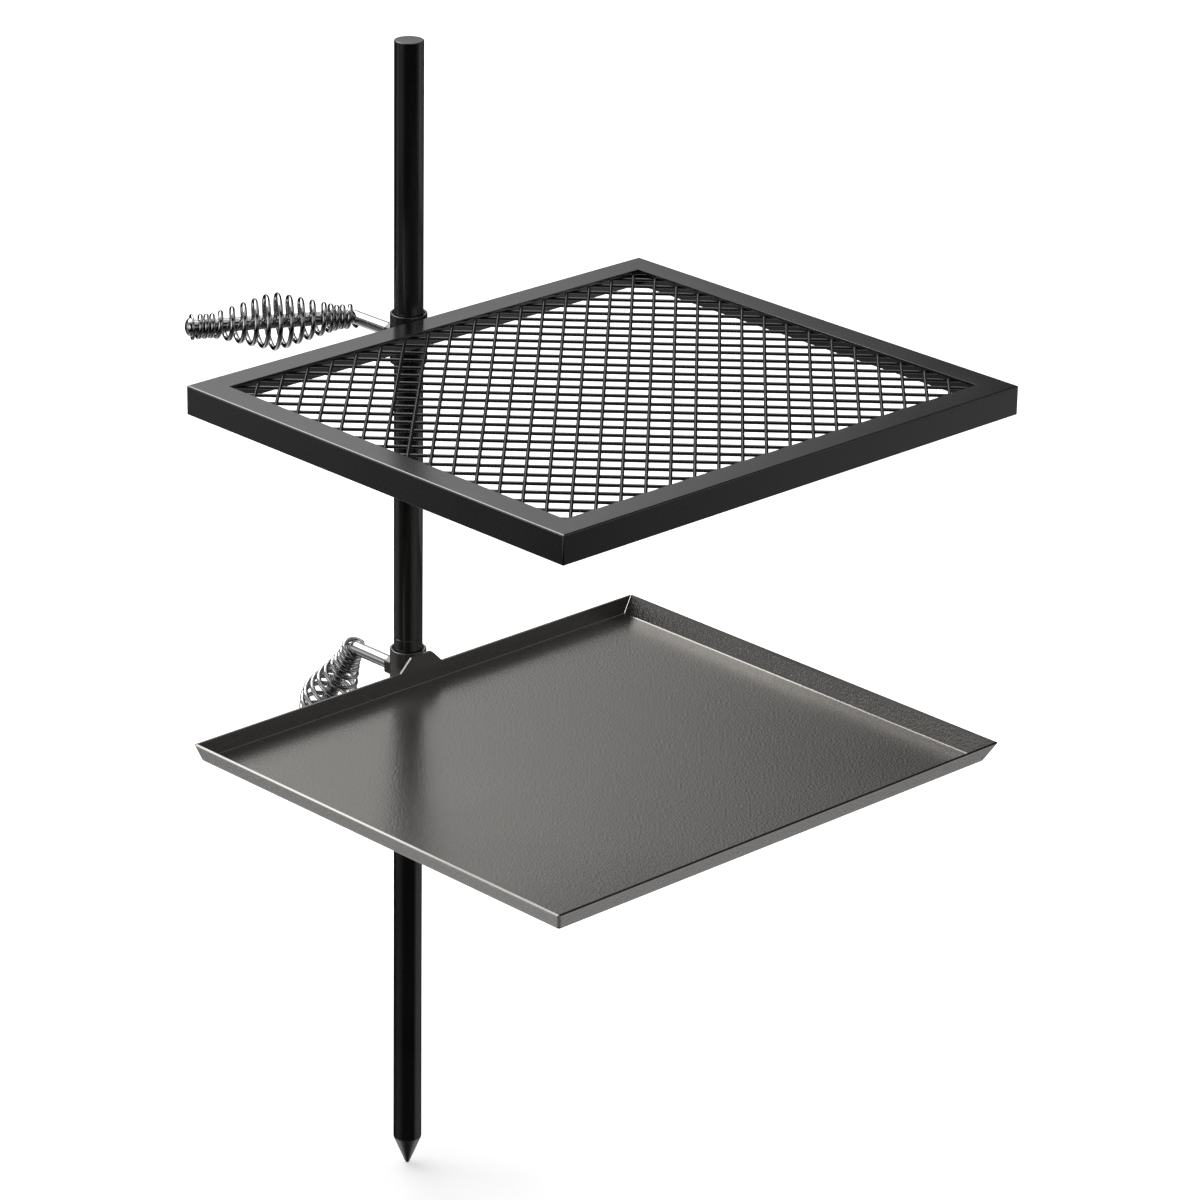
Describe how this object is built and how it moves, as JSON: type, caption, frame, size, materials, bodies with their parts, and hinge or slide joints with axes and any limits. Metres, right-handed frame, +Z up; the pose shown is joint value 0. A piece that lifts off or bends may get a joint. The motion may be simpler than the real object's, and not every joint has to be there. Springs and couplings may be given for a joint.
{
  "type": "swing grill",
  "caption": "Campfire swing grill: a pointed ground post carries a wire mesh grate and a shallow tray on collars that slide, swing and clamp with bent rods and coil grips.",
  "frame": {"origin": "tip of the post's point, on the post's axis", "axes": "+Z up along the post; -Y from the post out over the grate and the tray; +Y the side of the clamp screws; +X to the right for a cook who faces +Y"},
  "size_m": [0.406, 0.4868, 0.834],
  "materials": {
    "black_coat": "satin black powder coat on steel",
    "tray_coat": "dark grey coat on steel sheet with a fine grain",
    "bright_plate": "bright plated steel wire and rod",
    "nut_steel": "plain steel, slightly dulled by welding",
    "liner_steel": "blackened steel sleeve"
  },
  "bodies": {
    "post": {"lower_stake": "black_coat", "upper_post": "black_coat", "joining_stud": "nut_steel"},
    "grate_slider": {"grate_liner": "liner_steel"},
    "grate": {"grate_collar": "black_coat", "grate_clamp_nut": "nut_steel", "grate_rail_back": "black_coat", "grate_rail_left": "black_coat", "grate_rail_front": "black_coat", "grate_rail_right": "black_coat", "grate_wires_upper": "black_coat", "grate_wires_lower": "black_coat", "grate_weld": "black_coat"},
    "grate_clamp": {"grate_clamp_rod": "bright_plate", "grate_grip_cap": "bright_plate", "grate_grip_coil": "bright_plate"},
    "tray_slider": {"tray_liner": "liner_steel"},
    "tray": {"tray_pan": "tray_coat", "tray_collar": "tray_coat", "tray_clamp_nut": "nut_steel", "tray_weld": "tray_coat"},
    "tray_clamp": {"tray_clamp_rod": "bright_plate", "tray_grip_cap": "bright_plate", "tray_grip_coil": "bright_plate"}
  },
  "joints": [
    {"name": "grate_lift", "type": "slide", "parent": "post", "child": "grate_slider", "axis": [0, 0, 1], "range_m": [-0.2, 0.185]},
    {"name": "grate_swing", "type": "hinge", "parent": "grate_slider", "child": "grate", "pos_m": [0, 0, 0.6275], "axis": [0, 0, 1], "continuous": true},
    {"name": "grate_clamp_turn", "type": "hinge", "parent": "grate", "child": "grate_clamp", "pos_m": [0, 0.05, 0.6275], "axis": [0, 1, 0], "range_deg": [0, 360]},
    {"name": "tray_lift", "type": "slide", "parent": "post", "child": "tray_slider", "axis": [0, 0, 1], "range_m": [-0.15, 0.2]},
    {"name": "tray_swing", "type": "hinge", "parent": "tray_slider", "child": "tray", "pos_m": [0, 0, 0.3837], "axis": [0, 0, 1], "continuous": true},
    {"name": "tray_clamp_turn", "type": "hinge", "parent": "tray", "child": "tray_clamp", "pos_m": [0, 0.05, 0.3837], "axis": [0, 1, 0], "range_deg": [0, 360]}
  ]
}
